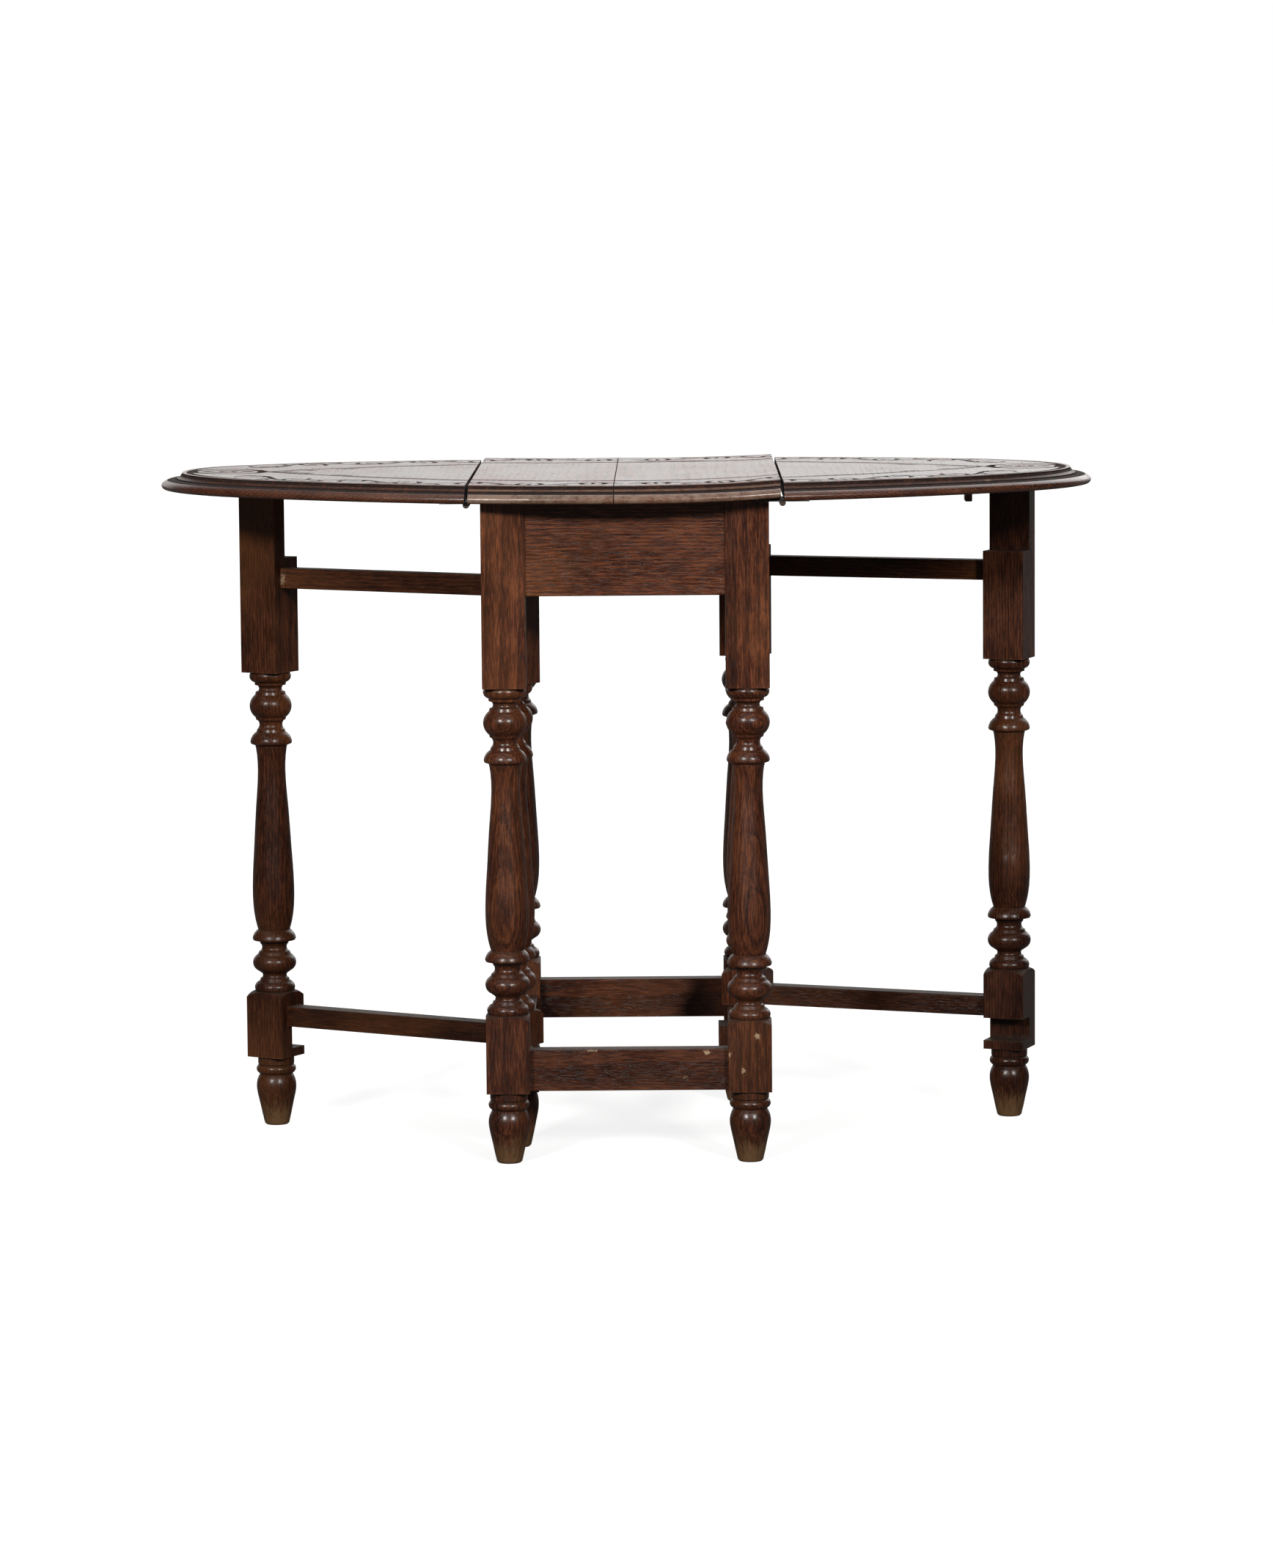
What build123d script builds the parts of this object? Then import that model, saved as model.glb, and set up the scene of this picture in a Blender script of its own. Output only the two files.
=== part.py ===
from build123d import *
import os
from math import acos, cos, degrees, hypot, radians, sin, sqrt

# Oval gateleg table in oak. Millimetres, +Z up, +Y to the back.
# The origin is on the floor under the middle of the top.

# Overall sizes
table_height = 720.0
top_length = 1014.0
top_depth = 610.0
board_thickness = 18.0
seam_x = 165.0
seam_gap = 2.0
centre_joint_x = -11.0

# The oval is drawn with four arcs: two at the ends and two long ones at the front and back.
end_arc_radius = 216.0
half_length = top_length / 2
half_depth = top_depth / 2
side_arc_radius = (half_length**2 + half_depth**2 - 2 * half_length * end_arc_radius) / (
    2 * (half_depth - end_arc_radius)
)
end_centre_x = half_length - end_arc_radius
side_centre_y = side_arc_radius - half_depth
end_half_angle = degrees(acos(end_centre_x / hypot(end_centre_x, side_centre_y)))

# Legs
block = 46.0
block_edge = 1.2
leg_x = 128.0
leg_y = 240.0
underside = table_height - board_thickness
upper_block_bottom = 505.5
lower_block_bottom = 76.5
lower_block_top = 153.5
shoulder_drop = 7.5

# How far the turner set the upper and the lower turnings of each leg from the pattern
turning_shift = {
    "leg_front_left": (1.0, 6.0),
    "leg_front_right": (0.0, 0.0),
    "leg_back_left": (5.0, -1.5),
    "leg_back_right": (1.0, -2.0),
    "gate_leg_left": (-3.0, -4.0),
    "gate_leg_right": (4.0, 12.0),
    "pivot_post_left": (-4.0, -4.0),
    "pivot_post_right": (0.0, -2.0),
}

# Aprons, rails and stretchers
apron_bottom = 603.5
apron_thickness = 20.0
apron_setback = 4.0
side_rail_bottom = 629.5
side_rail_outer_x = 143.0
side_rail_thickness = 30.0
stretcher_bottom = 78.0
stretcher_height = 44.0
stretcher_thickness = 22.0
stretcher_setback = 10.0
back_stretcher_lift = 4.0
side_stretcher_bottom = 88.0
side_stretcher_thickness = 22.0
side_stretcher_outer_x = 147.0
side_stretcher_width = 39.0
rail_edge = 1.0
tenon_length = 16.0
tenon_thickness = 8.0
tenon_shoulder = 6.0

# Gates
pivot_x = {"left": 124.0, "right": 131.0}
pivot_y = 142.0
gate_radius = 309.0
gate_rail_section = 22.0
gate_upper_rail_bottom = 595.5
gate_lower_rail_bottom = 111.5
gate_top_gap = 0.5
open_angle = {"left": 60.5, "right": 69.0}
lap_depth = 25.0
lap_clearance = 1.0
upper_lap_bottom = 628.5
lower_lap_bottom = 86.0
lower_lap_top = 111.0
housing_length = 50.0
housing_start = gate_radius - block / 2 - 2.5
pivot_post_bottom = 111.0
pivot_post_top = 628.5
pin_radius = 6.0
pin_running_clearance = 0.05
pin_edge = 0.8
pin_hold = 26.0
pin_end_room = 2.0
top_hole_reach = 30.0
bottom_hole_reach = 40.0

# Stub feet under the side stretchers
stub_foot_x = 121.0
stub_block_bottom = 62.0
stub_neck_radius = 19.0

# Hinges
hinge_length = 60.0
hinge_width = 28.0
hinge_end_inset = 8.0
plate_thickness = 1.8
barrel_radius = 3.5
barrel_axis_drop = 1.2
barrel_room = 0.4
knuckle_gap = 0.3
link_overlap = 1.0
hinge_pin_radius = 1.5
hinge_pin_inset = 0.2
screw_radius = 1.5
screw_head_radius = 3.0
screw_head_land = 0.3
screw_length = 11.5
screw_point = 2.5
screw_tip_radius = 0.1
slot_width = 0.8
slot_depth = 0.6
screw_rows = ((-20.0, 10.0), (0.0, 20.0), (20.0, 10.0))

# Small wooden blocks
corner_block_length = 30.0
corner_block_depth = 24.0
corner_block_height = 42.0
corner_block_chamfer = 2.0
stop_block_x = 374.0
stop_block_y = 16.0
stop_block_size = (8.0, 22.0, 18.7)
stop_block_chamfer = 1.0

# Turned outlines. A step is (r, z) for a line or (r, z, r, z) for an arc, from the top down.
head_outline = (
    (21.0, 508.0),
    (21.0, 505.5),
    (22.9, 500.5, 17.3, 494.2),
    (17.0, 491.2),
    (15.2, 490.8),
    (12.6, 487.0, 16.2, 483.6),
    (16.9, 480.6),
    (23.1, 467.8, 16.9, 455.6),
    (16.2, 452.8),
    (14.6, 452.2),
    (12.7, 447.2, 15.2, 442.4),
    (16.0, 439.4),
    (21.0, 434.6, 22.9, 428.0),
    (22.2, 426.4),
    (17.4, 424.6),
)
tail_outline = (
    (17.5, 221.5),
    (22.3, 216.5, 23.9, 211.5),
    (23.0, 209.6),
    (16.0, 208.4),
    (15.6, 206.0),
    (13.8, 200.5, 17.0, 196.8),
    (18.4, 193.6),
    (23.8, 185.4, 17.6, 175.4),
    (16.0, 174.0),
    (14.8, 173.4),
    (13.2, 170.0, 15.6, 167.2),
    (17.0, 163.8),
    (22.2, 157.6, 19.6, 151.8),
    (19.6, 148.0),
)
collar_outline = (
    (20.0, 80.0),
    (20.0, 68.0),
    (18.8, 67.0),
    (21.8, 62.3, 18.6, 57.2),
    (18.2, 56.2),
    (18.2, 54.0),
)
# The swell between the rings: share of its length from the top, and radius there
swell_outline = (
    (0.0, 17.4),
    (0.07, 15.6),
    (0.32, 17.6),
    (0.56, 20.7),
    (0.79, 23.0),
    (0.92, 21.3),
    (1.0, 17.5),
)
# The bulb below the foot's ring, as radius and height
bulb_outline = ((21.9, 42.0), (19.2, 27.0), (15.8, 11.0), (13.6, 1.6))
bulb_end_radius = 12.0
bulb_top = 56.2
bulb_top_radius = 18.2

# How far the solids of one turning run into each other
turning_overlap = 2.0

# The moulding's outline, as inset from the oval's edge and drop below the top face
flat_edge = (22.8, 1.8)
flat_foot = (21.6, 2.4)
cove = ((19.7, 4.9), (16.4, 5.9))
quirk = ((16.2, 7.4), (15.2, 7.0))
ovolo = ((7.4, 8.0), (1.0, 11.4))
under_edge = ((0.2, 14.8), (5.5, 18.0))
cutter_spill = 6.0


def box(x0, x1, y0, y1, z0, z1):
    """A box between two corners."""
    size = Box(x1 - x0, y1 - y0, z1 - z0)
    return Pos((x0 + x1) / 2, (y0 + y1) / 2, (z0 + z1) / 2) * size


def post(side, z0, z1):
    """A square post on the Z axis with softened upright edges."""
    body = box(-side / 2, side / 2, -side / 2, side / 2, z0, z1)
    return fillet(body.edges().filter_by(Axis.Z), block_edge)


def turn(outline):
    """Revolve an outline about Z."""
    start = outline[0]
    edges = [Line((0, 0, start[1]), (start[0], 0, start[1]))]
    here = start
    for step in outline[1:]:
        there = step[-2:]
        if len(step) == 2:
            edges.append(Line((here[0], 0, here[1]), (there[0], 0, there[1])))
        else:
            middle = (step[0], 0, step[1])
            edges.append(ThreePointArc((here[0], 0, here[1]), middle, (there[0], 0, there[1])))
        here = there
    edges.append(Line((here[0], 0, here[1]), (0, 0, here[1])))
    edges.append(Line((0, 0, here[1]), (0, 0, start[1])))
    return revolve(make_face(edges), Axis.Z)


def turned_shaft(upper, lower):
    """The turned length between the two blocks, as one solid of revolution."""
    head = [raised(step, upper) for step in head_outline]
    tail = [raised(step, lower) for step in tail_outline]
    top_r, top_z = head[-1]
    bottom_r, bottom_z = tail[0]
    upper_part = turn(head + [(top_r, top_z - turning_overlap)])
    lower_part = turn([(bottom_r, bottom_z + turning_overlap)] + tail)
    return upper_part + baluster(top_z, bottom_z) + lower_part


def raised(step, rise):
    """One outline step moved up by rise."""
    return tuple(value + rise if place % 2 else value for place, value in enumerate(step))


def baluster(top_z, bottom_z):
    """The long tapering swell between the upper and the lower rings."""
    span = top_z - bottom_z
    points = [(radius, 0, top_z - share * span) for share, radius in swell_outline]
    edges = [
        Line((0, 0, top_z), points[0]),
        Spline(points),
        Line(points[-1], (0, 0, bottom_z)),
        Line((0, 0, bottom_z), (0, 0, top_z)),
    ]
    return revolve(make_face(edges), Axis.Z)


def turned_foot():
    """Collar, ring and tapering bulb under the lower block."""
    return turn(collar_outline) + bulb(bulb_top, bulb_top_radius)


def bulb(top_z, top_radius):
    """The tapering bulb that stands on the floor."""
    points = [(top_radius, 0, top_z)] + [(radius, 0, z) for radius, z in bulb_outline]
    edges = [
        Line((0, 0, top_z), points[0]),
        Spline(points),
        Line(points[-1], (bulb_end_radius, 0, 0)),
        Line((bulb_end_radius, 0, 0), (0, 0, 0)),
        Line((0, 0, 0), (0, 0, top_z)),
    ]
    return revolve(make_face(edges), Axis.Z)


def shouldered_block(bottom_z, top_z):
    """A square block whose upper end is turned to an arched shoulder."""
    corner = block * 0.72  # just clears the block's corners
    shoulder = turn(
        [
            (18.0, top_z + 0.4),
            (22.0, top_z - 0.4),
            (28.0, top_z - 2.9, corner, top_z - shoulder_drop),
            (corner, bottom_z),
        ]
    )
    return post(block, bottom_z, top_z + 1.0) & shoulder


def leg(name, top_z):
    """A full-length leg on the Z axis."""
    upper, lower = turning_shift[name]
    body = post(block, upper_block_bottom + upper, top_z)
    body += turned_shaft(upper, lower)
    body += shouldered_block(lower_block_bottom, lower_block_top + lower)
    body += turned_foot()
    return body


def tenons(x0, x1, y0, y1, z0, z1, along):
    """The two tenons of a member that spans the given box, running along X or Y."""
    bottom = z0 + tenon_shoulder
    top = z1 - tenon_shoulder
    if along == "x":
        middle = (y0 + y1) / 2
        sides = (middle - tenon_thickness / 2, middle + tenon_thickness / 2)
        first = box(x0 - tenon_length, x0, *sides, bottom, top)
        second = box(x1, x1 + tenon_length, *sides, bottom, top)
    else:
        middle = (x0 + x1) / 2
        sides = (middle - tenon_thickness / 2, middle + tenon_thickness / 2)
        first = box(*sides, y0 - tenon_length, y0, bottom, top)
        second = box(*sides, y1, y1 + tenon_length, bottom, top)
    return [first, second]


def member(x0, x1, y0, y1, z0, z1, along):
    """A rail or stretcher with softened long edges, and its tenons."""
    axis = Axis.X if along == "x" else Axis.Y
    body = box(x0, x1, y0, y1, z0, z1)
    body = fillet(body.edges().filter_by(axis), rail_edge)
    ends = tenons(x0, x1, y0, y1, z0, z1, along)
    return body + ends[0] + ends[1], ends


def mirrored_y(x0, x1, y0, y1):
    """The same footprint on the other side of the X axis."""
    return x0, x1, -y1, -y0


def build_frame():
    """The fixed frame: legs, aprons, rails and stretchers."""
    nodes = {}
    mortises = []
    inner_x = leg_x - block / 2
    inner_y = leg_y - block / 2
    face_y = leg_y + block / 2

    apron = (-inner_x, inner_x, -face_y + apron_setback, -face_y + apron_setback + apron_thickness)
    stretcher = (
        -inner_x,
        inner_x,
        -face_y + stretcher_setback,
        -face_y + stretcher_setback + stretcher_thickness,
    )
    across = {
        "apron_front": (*apron, apron_bottom, underside),
        "apron_back": (*mirrored_y(*apron), apron_bottom, underside),
        "stretcher_front": (*stretcher, stretcher_bottom, stretcher_bottom + stretcher_height),
        "stretcher_back": (
            *mirrored_y(*stretcher),
            stretcher_bottom + back_stretcher_lift,
            stretcher_bottom + back_stretcher_lift + stretcher_height,
        ),
    }
    for name, bounds in across.items():
        nodes[name], ends = member(*bounds, "x")
        mortises += ends

    for side in ("left", "right"):
        members, ends = build_side(side, inner_y)
        nodes.update(members)
        mortises += ends

    for name, x, y in (
        ("leg_front_left", -leg_x, -leg_y),
        ("leg_front_right", leg_x, -leg_y),
        ("leg_back_left", -leg_x, leg_y),
        ("leg_back_right", leg_x, leg_y),
    ):
        body = Pos(x, y, 0) * leg(name, underside)
        reach = box(x - block, x + block, y - block, y + block, 0, table_height)
        for mortise in mortises:
            cut = mortise & reach
            if cut is not None and cut.volume > 1.0:
                body -= cut
        nodes[name] = body

    nodes.update(build_corner_blocks(inner_x, face_y - apron_setback - apron_thickness))
    return nodes


def build_side(side, inner_y):
    """One side's rail, stretcher and stub foot, and the tenons. The right side is turned half round."""
    rail = (-side_rail_outer_x, -side_rail_outer_x + side_rail_thickness, -inner_y, inner_y)
    low = (-side_stretcher_outer_x, -side_stretcher_outer_x + side_stretcher_width, -inner_y, inner_y)
    low_top = side_stretcher_bottom + side_stretcher_thickness
    side_rail, rail_ends = member(*rail, side_rail_bottom, underside, "y")
    side_stretcher, low_ends = member(*low, side_stretcher_bottom, low_top, "y")
    stub = post(block, stub_block_bottom, side_stretcher_bottom)
    stub += bulb(stub_block_bottom, stub_neck_radius)
    stub = Pos(-stub_foot_x, -pivot_y, 0) * stub
    cuts = pin_hole(pivot_post_bottom - bottom_hole_reach, pivot_post_top + top_hole_reach)
    cuts += box(
        -block,
        -lap_clearance,
        housing_start,
        housing_start + housing_length,
        side_stretcher_bottom,
        underside,
    )
    cuts = Pos(-pivot_x[side], -pivot_y, 0) * cuts
    place = Rot(0, 0, 180 if side == "right" else 0)
    members = {
        f"side_rail_{side}": place * (side_rail - cuts),
        f"side_stretcher_{side}": place * (side_stretcher - cuts),
        f"stub_foot_{side}": place * (stub - cuts),
    }
    return members, [place * end for end in rail_ends + low_ends]


def pin_hole(bottom_z, top_z):
    """The running hole for the pivot pins on the Z axis."""
    hole = Cylinder(pin_radius + pin_running_clearance, top_z - bottom_z)
    return Pos(0, 0, (bottom_z + top_z) / 2) * hole


def build_corner_blocks(inner_x, apron_back_y):
    """Four glued blocks that tie the aprons to the top beside the legs."""
    nodes = {}
    for side, sign_x in (("left", -1), ("right", 1)):
        for end, sign_y in (("front", -1), ("back", 1)):
            solid = Box(corner_block_length, corner_block_depth, corner_block_height)
            low_edges = solid.edges().filter_by(Axis.X).sort_by(Axis.Z)[:2]
            solid = chamfer(low_edges, corner_block_chamfer)
            x = sign_x * (inner_x - corner_block_length / 2)
            y = sign_y * (apron_back_y - corner_block_depth / 2)
            nodes[f"corner_block_{end}_{side}"] = Pos(x, y, underside - corner_block_height / 2) * solid
    return nodes


def gate_member(bottom_z):
    """A square gate rail from the pivot post to the gate leg, with its tenons."""
    half = gate_rail_section / 2
    start = block / 2
    top_z = bottom_z + gate_rail_section
    return member(-half, half, start, gate_radius - start, bottom_z, top_z, "y")


def build_gate(side):
    """One gate. It is drawn closed, pointing to +Y from its pivot, and then swung open."""
    leg_name = f"gate_leg_{side}"
    post_name = f"pivot_post_{side}"
    upper_rail, upper_ends = gate_member(gate_upper_rail_bottom)
    lower_rail, lower_ends = gate_member(gate_lower_rail_bottom)

    gate_leg = leg(leg_name, underside - gate_top_gap)
    lap_x = block / 2 - lap_depth
    gate_leg -= box(lap_x, block, -block, block, upper_lap_bottom, table_height)
    gate_leg -= box(lap_x, block, -block, block, lower_lap_bottom, lower_lap_top)
    gate_leg = Pos(0, gate_radius, 0) * gate_leg
    gate_leg -= upper_ends[1]
    gate_leg -= lower_ends[1]

    upper, lower = turning_shift[post_name]
    pivot_post = post(block, upper_block_bottom + upper, pivot_post_top)
    pivot_post += turned_shaft(upper, lower)
    pivot_post += shouldered_block(pivot_post_bottom, lower_block_top + lower)
    pivot_post -= upper_ends[0]
    pivot_post -= lower_ends[0]
    top_end = pivot_post_top + top_hole_reach - pin_end_room
    bottom_end = pivot_post_bottom - bottom_hole_reach + pin_end_room
    pins = {
        f"pivot_pin_top_{side}": (pivot_post_top - pin_hold, top_end),
        f"pivot_pin_bottom_{side}": (bottom_end, pivot_post_bottom + pin_hold),
    }
    nodes = {}
    for name, (low, high) in pins.items():
        pin = Pos(0, 0, (low + high) / 2) * Cylinder(pin_radius, high - low)
        pivot_post -= pin
        nodes[name] = chamfer(pin.edges().filter_by(GeomType.CIRCLE), pin_edge)
    nodes[leg_name] = gate_leg
    nodes[post_name] = pivot_post
    nodes[f"gate_rail_upper_{side}"] = upper_rail
    nodes[f"gate_rail_lower_{side}"] = lower_rail

    swing = open_angle[side] + (180 if side == "right" else 0)
    sign = 1 if side == "right" else -1
    place = Pos(sign * pivot_x[side], sign * pivot_y, 0) * Rot(0, 0, swing)
    return {name: place * solid for name, solid in nodes.items()}


def oval_blank():
    """The full oval top as a plain slab."""
    join = radians(90 - end_half_angle)
    join_x = side_arc_radius * sin(join)
    join_y = side_arc_radius * cos(join) - side_centre_y
    edges = [
        ThreePointArc((-join_x, -join_y), (0, -half_depth), (join_x, -join_y)),
        ThreePointArc((join_x, -join_y), (half_length, 0), (join_x, join_y)),
        ThreePointArc((join_x, join_y), (0, half_depth), (-join_x, join_y)),
        ThreePointArc((-join_x, join_y), (-half_length, 0), (-join_x, -join_y)),
    ]
    return Pos(0, 0, underside) * extrude(make_face(edges), board_thickness)


def moulding_cutter(radius, centre, middle_angle, half_angle):
    """What the moulding plane takes off along one arc of the oval's edge."""

    def at(inset, drop):
        return (radius - inset, 0, table_height - drop)

    outer = -cutter_spill
    below = board_thickness + cutter_spill
    edges = [
        Line(at(flat_edge[0], outer), at(*flat_edge)),
        Line(at(*flat_edge), at(*flat_foot)),
        ThreePointArc(at(*flat_foot), at(*cove[0]), at(*cove[1])),
        Line(at(*cove[1]), at(*quirk[0])),
        Line(at(*quirk[0]), at(*quirk[1])),
        ThreePointArc(at(*quirk[1]), at(*ovolo[0]), at(*ovolo[1])),
        ThreePointArc(at(*ovolo[1]), at(*under_edge[0]), at(*under_edge[1])),
        Line(at(*under_edge[1]), at(under_edge[1][0], below)),
        Line(at(under_edge[1][0], below), at(outer, below)),
        Line(at(outer, below), at(outer, outer)),
        Line(at(outer, outer), at(flat_edge[0], outer)),
    ]
    ring = revolve(make_face(edges), Axis.Z, 2 * half_angle)
    return Pos(centre[0], centre[1], 0) * Rot(0, 0, middle_angle - half_angle) * ring


def moulded_top():
    """The oval slab with its moulded edge, before it is cut into boards."""
    top = oval_blank()
    side_half_angle = 90 - end_half_angle
    arcs = (
        (side_arc_radius, (0, side_centre_y), -90, side_half_angle),
        (side_arc_radius, (0, -side_centre_y), 90, side_half_angle),
        (end_arc_radius, (end_centre_x, 0), 0, end_half_angle),
        (end_arc_radius, (-end_centre_x, 0), 180, end_half_angle),
    )
    for arc in arcs:
        top -= moulding_cutter(*arc)
    return top


def seam_half_depth():
    """Distance from the X axis to the top's edge at a seam."""
    return sqrt(side_arc_radius**2 - seam_x**2) - side_centre_y


def hinge_places():
    """Name, X and middle Y of each hinge. The fixed plate is towards the middle of the table."""
    y = seam_half_depth() - hinge_end_inset - hinge_length / 2
    for side, sign_x in (("left", -1), ("right", 1)):
        for end, sign_y in (("front", -1), ("back", 1)):
            yield f"{end}_{side}", sign_x * seam_x, sign_y * y, sign_x


def along_y(radius, y0, y1, z=0.0):
    """A cylinder along Y."""
    return Pos(0, (y0 + y1) / 2, z) * Rot(90, 0, 0) * Cylinder(radius, y1 - y0)


def screw_outline(head_z):
    """Outline of a countersunk screw that points up, its head's face at head_z."""
    return (
        (screw_tip_radius, screw_length),
        (screw_radius, screw_length - screw_point),
        (screw_radius, plate_thickness),
        (screw_head_radius, screw_head_land),
        (screw_head_radius, head_z),
    )


def hinge_screw():
    """A slotted countersunk screw pointing up, its head's face at Z = 0."""
    slot = Box(3 * screw_head_radius, slot_width, 2 * slot_depth)
    return turn(screw_outline(0.0)) - slot


def screw_room():
    """The hole that one hinge screw fills."""
    return turn(screw_outline(-screw_head_land))


def hinge(outward):
    """One hinge at the origin, its plates' lower faces at Z = 0. Outward is the leaf's side."""
    half = hinge_length / 2
    knuckle = hinge_length / 3
    axis_z = -barrel_axis_drop
    parts = {}
    for name, sign, spans in (
        ("plate_fixed", -outward, ((-half, -half + knuckle), (half - knuckle, half))),
        ("plate_moving", outward, ((-half + knuckle, half - knuckle),)),
    ):
        x_near = sign * seam_gap / 2
        x_far = sign * hinge_width
        plate = box(min(x_near, x_far), max(x_near, x_far), -half, half, 0, plate_thickness)
        plate -= along_y(barrel_radius + barrel_room, -half - 1, half + 1, axis_z)
        link_end = sign * (barrel_radius + barrel_room + link_overlap)
        for start, end in spans:
            y0 = start + knuckle_gap / 2
            y1 = end - knuckle_gap / 2
            link = box(min(0, link_end), max(0, link_end), y0, y1, 0, plate_thickness)
            plate += along_y(barrel_radius, y0, y1, axis_z) + link
        plate -= along_y(hinge_pin_radius, -half, half, axis_z)
        for y, x in screw_rows:
            plate -= Pos(sign * x, y, 0) * screw_room()
        parts[name] = plate
    parts["pin"] = along_y(hinge_pin_radius, -half + hinge_pin_inset, half - hinge_pin_inset, axis_z)
    screws = [Pos(sign * x, y, 0) * hinge_screw() for sign in (-1, 1) for y, x in screw_rows]
    parts["screws"] = Compound(children=screws)
    return parts


def hinge_room():
    """What is let into the boards for one hinge and its screws."""
    half = hinge_length / 2
    room = box(-hinge_width, hinge_width, -half, half, 0, plate_thickness)
    room += along_y(barrel_radius + barrel_room, -half, half, -barrel_axis_drop)
    for sign in (-1, 1):
        for y, x in screw_rows:
            room += Pos(sign * x, y, 0) * screw_room()
    return room


def build_top():
    """Two centre boards, two leaves and the hinges between them."""
    top = moulded_top()
    nodes = {}
    for name, x, y, outward in hinge_places():
        place = Pos(x, y, underside)
        top -= place * hinge_room()
        for piece, solid in hinge(outward).items():
            nodes[f"hinge_{name}_{piece}"] = place * solid
    far = top_length
    gap = seam_gap / 2
    spans = {
        "leaf_left": (-far, -seam_x - gap),
        "centre_board_left": (-seam_x + gap, centre_joint_x),
        "centre_board_right": (centre_joint_x, seam_x - gap),
        "leaf_right": (seam_x + gap, far),
    }
    for name, (x0, x1) in spans.items():
        nodes[name] = top & box(x0, x1, -far, far, underside - 1, table_height + 1)
    length, depth, height = stop_block_size
    stop = Box(length, depth, height)
    stop = chamfer(stop.edges().group_by(Axis.Z)[0], stop_block_chamfer)
    nodes["leaf_block"] = Pos(stop_block_x, stop_block_y, underside - height / 2) * stop
    return nodes


def main():
    nodes = build_frame()
    nodes.update(build_gate("left"))
    nodes.update(build_gate("right"))
    nodes.update(build_top())
    os.makedirs("parts", exist_ok=True)
    for name, solid in nodes.items():
        export_step(solid, f"parts/{name}.step")
    print(len(nodes), "nodes written")


main()
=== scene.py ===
import math

import bmesh
import bpy
import numpy as np
from mathutils import Matrix, Vector


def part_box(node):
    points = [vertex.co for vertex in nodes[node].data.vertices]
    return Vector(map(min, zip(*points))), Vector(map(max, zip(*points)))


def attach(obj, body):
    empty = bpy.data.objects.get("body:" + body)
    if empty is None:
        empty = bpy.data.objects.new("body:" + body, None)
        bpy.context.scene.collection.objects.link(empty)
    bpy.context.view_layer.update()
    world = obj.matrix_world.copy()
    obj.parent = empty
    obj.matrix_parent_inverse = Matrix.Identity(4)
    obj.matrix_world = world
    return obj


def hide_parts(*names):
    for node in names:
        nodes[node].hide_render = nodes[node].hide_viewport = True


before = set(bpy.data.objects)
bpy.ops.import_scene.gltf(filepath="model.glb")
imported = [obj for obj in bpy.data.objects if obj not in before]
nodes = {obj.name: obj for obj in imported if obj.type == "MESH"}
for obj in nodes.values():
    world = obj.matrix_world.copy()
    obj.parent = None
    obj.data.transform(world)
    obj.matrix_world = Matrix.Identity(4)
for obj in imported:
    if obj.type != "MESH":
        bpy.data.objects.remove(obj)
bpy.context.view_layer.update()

MM = 0.001

# ---------------------------------------------------------------- shader nodes


class Graph:
    """A short way to build the nodes of a material or of the world."""

    def __init__(self, owner):
        owner.use_nodes = True
        self.owner = owner
        self.tree = owner.node_tree
        self.tree.nodes.clear()

    def add(self, kind, settings=None, **inputs):
        """A node. A value for an input is a number, a tuple or another node's output."""
        node = self.tree.nodes.new("ShaderNode" + kind)
        for key, value in (settings or {}).items():
            setattr(node, key, value)
        for key, value in inputs.items():
            self.feed(node.inputs[key.replace("_", " ")], value)
        return node

    def feed(self, socket, value):
        """Link value to a socket if it comes from a node, or else set it there."""
        if isinstance(value, bpy.types.NodeSocket):
            self.tree.links.new(value, socket)
        else:
            socket.default_value = value

    def feed_all(self, node, *values):
        """Feed a node's sockets in their order."""
        for socket, value in zip(node.inputs, values):
            self.feed(socket, value)
        return node

    def math(self, operation, first, second=0.0, third=0.0):
        node = self.add("Math", {"operation": operation})
        return self.feed_all(node, first, second, third).outputs[0]

    def vectors(self, operation, first, second=(0.0, 0.0, 0.0)):
        node = self.add("VectorMath", {"operation": operation})
        return self.feed_all(node, first, second).outputs

    def mix(self, share, first, second, blend="MIX"):
        """first where share is 0 and second where it is 1."""
        node = self.add("Mix", {"data_type": "RGBA", "blend_type": blend, "clamp_factor": True})
        self.feed(node.inputs[0], share)
        self.feed(node.inputs[6], first)
        self.feed(node.inputs[7], second)
        return node.outputs[2]

    def span(self, value, low, high, to_low=0.0, to_high=1.0, smooth=True):
        """value moved from the span low to high to the span to_low to to_high, and held at its ends."""
        node = self.add("MapRange", {"interpolation_type": "SMOOTHSTEP" if smooth else "LINEAR"})
        return self.feed_all(node, value, low, high, to_low, to_high).outputs[0]

    def noise(self, place, scale, detail=2.0, roughness=0.5):
        return self.add("TexNoise", Vector=place, Scale=scale, Detail=detail, Roughness=roughness).outputs[0]

    def scaled(self, place, scale):
        return self.add("Mapping", Vector=place, Scale=scale).outputs[0]

    def split(self, place):
        return self.add("SeparateXYZ", Vector=place).outputs

    def attribute(self, name):
        return self.add("Attribute", {"attribute_name": name}).outputs["Fac"]

    def occlusion(self, distance, inside=False):
        """1 deep in a hollow, or on a sharp edge if it is looked for from inside, and 0 in the open."""
        settings = {"samples": 6, "inside": inside, "only_local": True}
        shelter = self.add("AmbientOcclusion", settings, Distance=distance)
        return self.math("SUBTRACT", 1.0, shelter.outputs["AO"])

    def finish(self, shader, output="OutputMaterial"):
        self.tree.links.new(shader.outputs[0], self.add(output).inputs["Surface"])
        return self.owner


def colour(red, green, blue):
    return (red, green, blue, 1.0)


def scale_colour(value, share):
    return colour(value[0] * share, value[1] * share, value[2] * share)


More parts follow.
